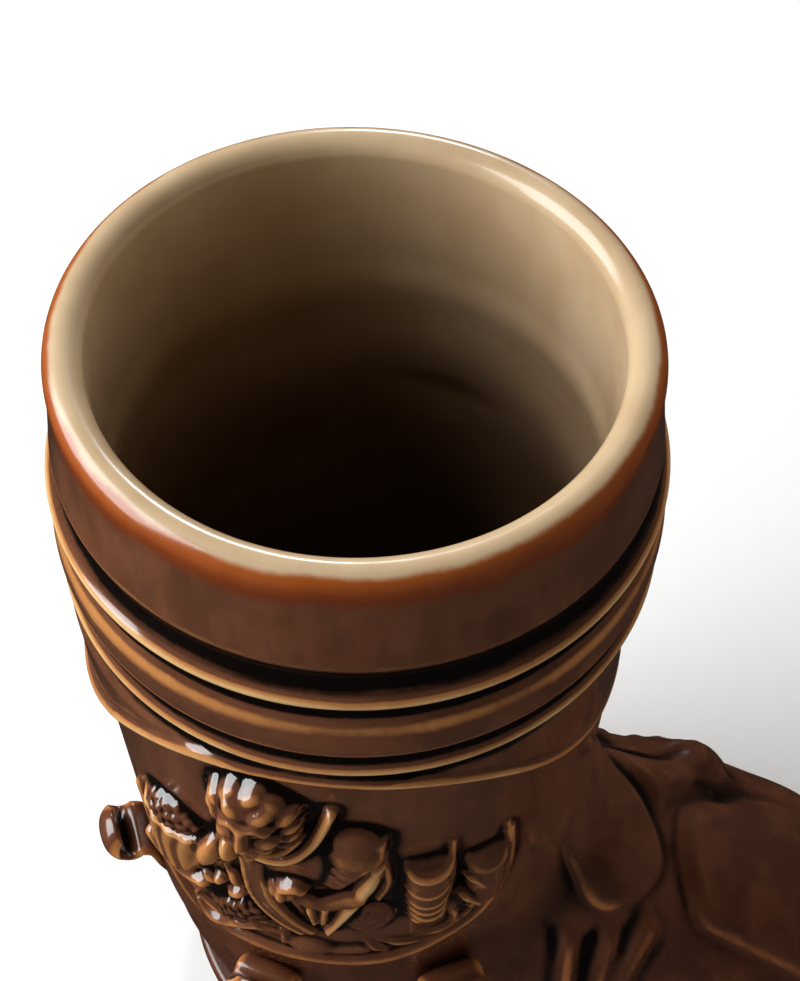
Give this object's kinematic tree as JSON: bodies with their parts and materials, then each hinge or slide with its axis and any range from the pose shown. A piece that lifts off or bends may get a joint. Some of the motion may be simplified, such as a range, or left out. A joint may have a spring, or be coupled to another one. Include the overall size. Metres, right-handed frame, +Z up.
{
  "type": "boot-shaped beer stein",
  "caption": "Ceramic drinking stein in the shape of a boot, with a beaded cuff, cream-glazed bore, relief scenes on the leg and a layered sole to stand on.",
  "frame": {"origin": "on the table under the leg's axis, on the heel's flat underside", "axes": "+X from the leg towards the toe, +Z up along the leg, -Y the side of the leg that the picture shows"},
  "size_m": [0.1238, 0.0818, 0.149],
  "materials": {
    "brown_glaze": "high gloss",
    "amber_glaze": "high gloss",
    "dark_glaze": "high gloss",
    "cream_glaze": "high gloss"
  },
  "bodies": {
    "root": {"ankle_scroll_1": "amber_glaze", "ankle_scroll_2": "amber_glaze", "ankle_scroll_3": "amber_glaze", "ankle_scroll_4": "amber_glaze", "ankle_scroll_5": "amber_glaze", "ankle_scroll_6": "amber_glaze", "barley_sheaf_left": "amber_glaze", "barley_sheaf_right": "amber_glaze", "boot_foot": "dark_glaze", "cartouche_rim_left": "amber_glaze", "cartouche_rim_right": "amber_glaze", "cuff_collar": "amber_glaze", "fore_sole": "dark_glaze", "front_tankard_left": "amber_glaze", "front_tankard_right": "amber_glaze", "heel_block": "dark_glaze", "hop_cone_left": "amber_glaze", "hop_cone_right": "amber_glaze", "hop_vine_left": "amber_glaze", "hop_vine_right": "amber_glaze", "instep_flap_left": "dark_glaze", "instep_flap_right": "dark_glaze", "leg_tube": "brown_glaze", "liner_glaze": "cream_glaze", "rear_tankard_left": "amber_glaze", "rear_tankard_right": "amber_glaze", "reveller_coat_left": "amber_glaze", "reveller_coat_right": "amber_glaze", "reveller_head_left": "amber_glaze", "reveller_head_right": "amber_glaze", "reveller_left_arm_left": "amber_glaze", "reveller_left_arm_right": "amber_glaze", "reveller_right_arm_left": "amber_glaze", "reveller_right_arm_right": "amber_glaze", "reveller_shoulder_left": "amber_glaze", "reveller_shoulder_right": "amber_glaze", "sole_welt": "dark_glaze", "toe_cap": "dark_glaze"}
  },
  "joints": []
}
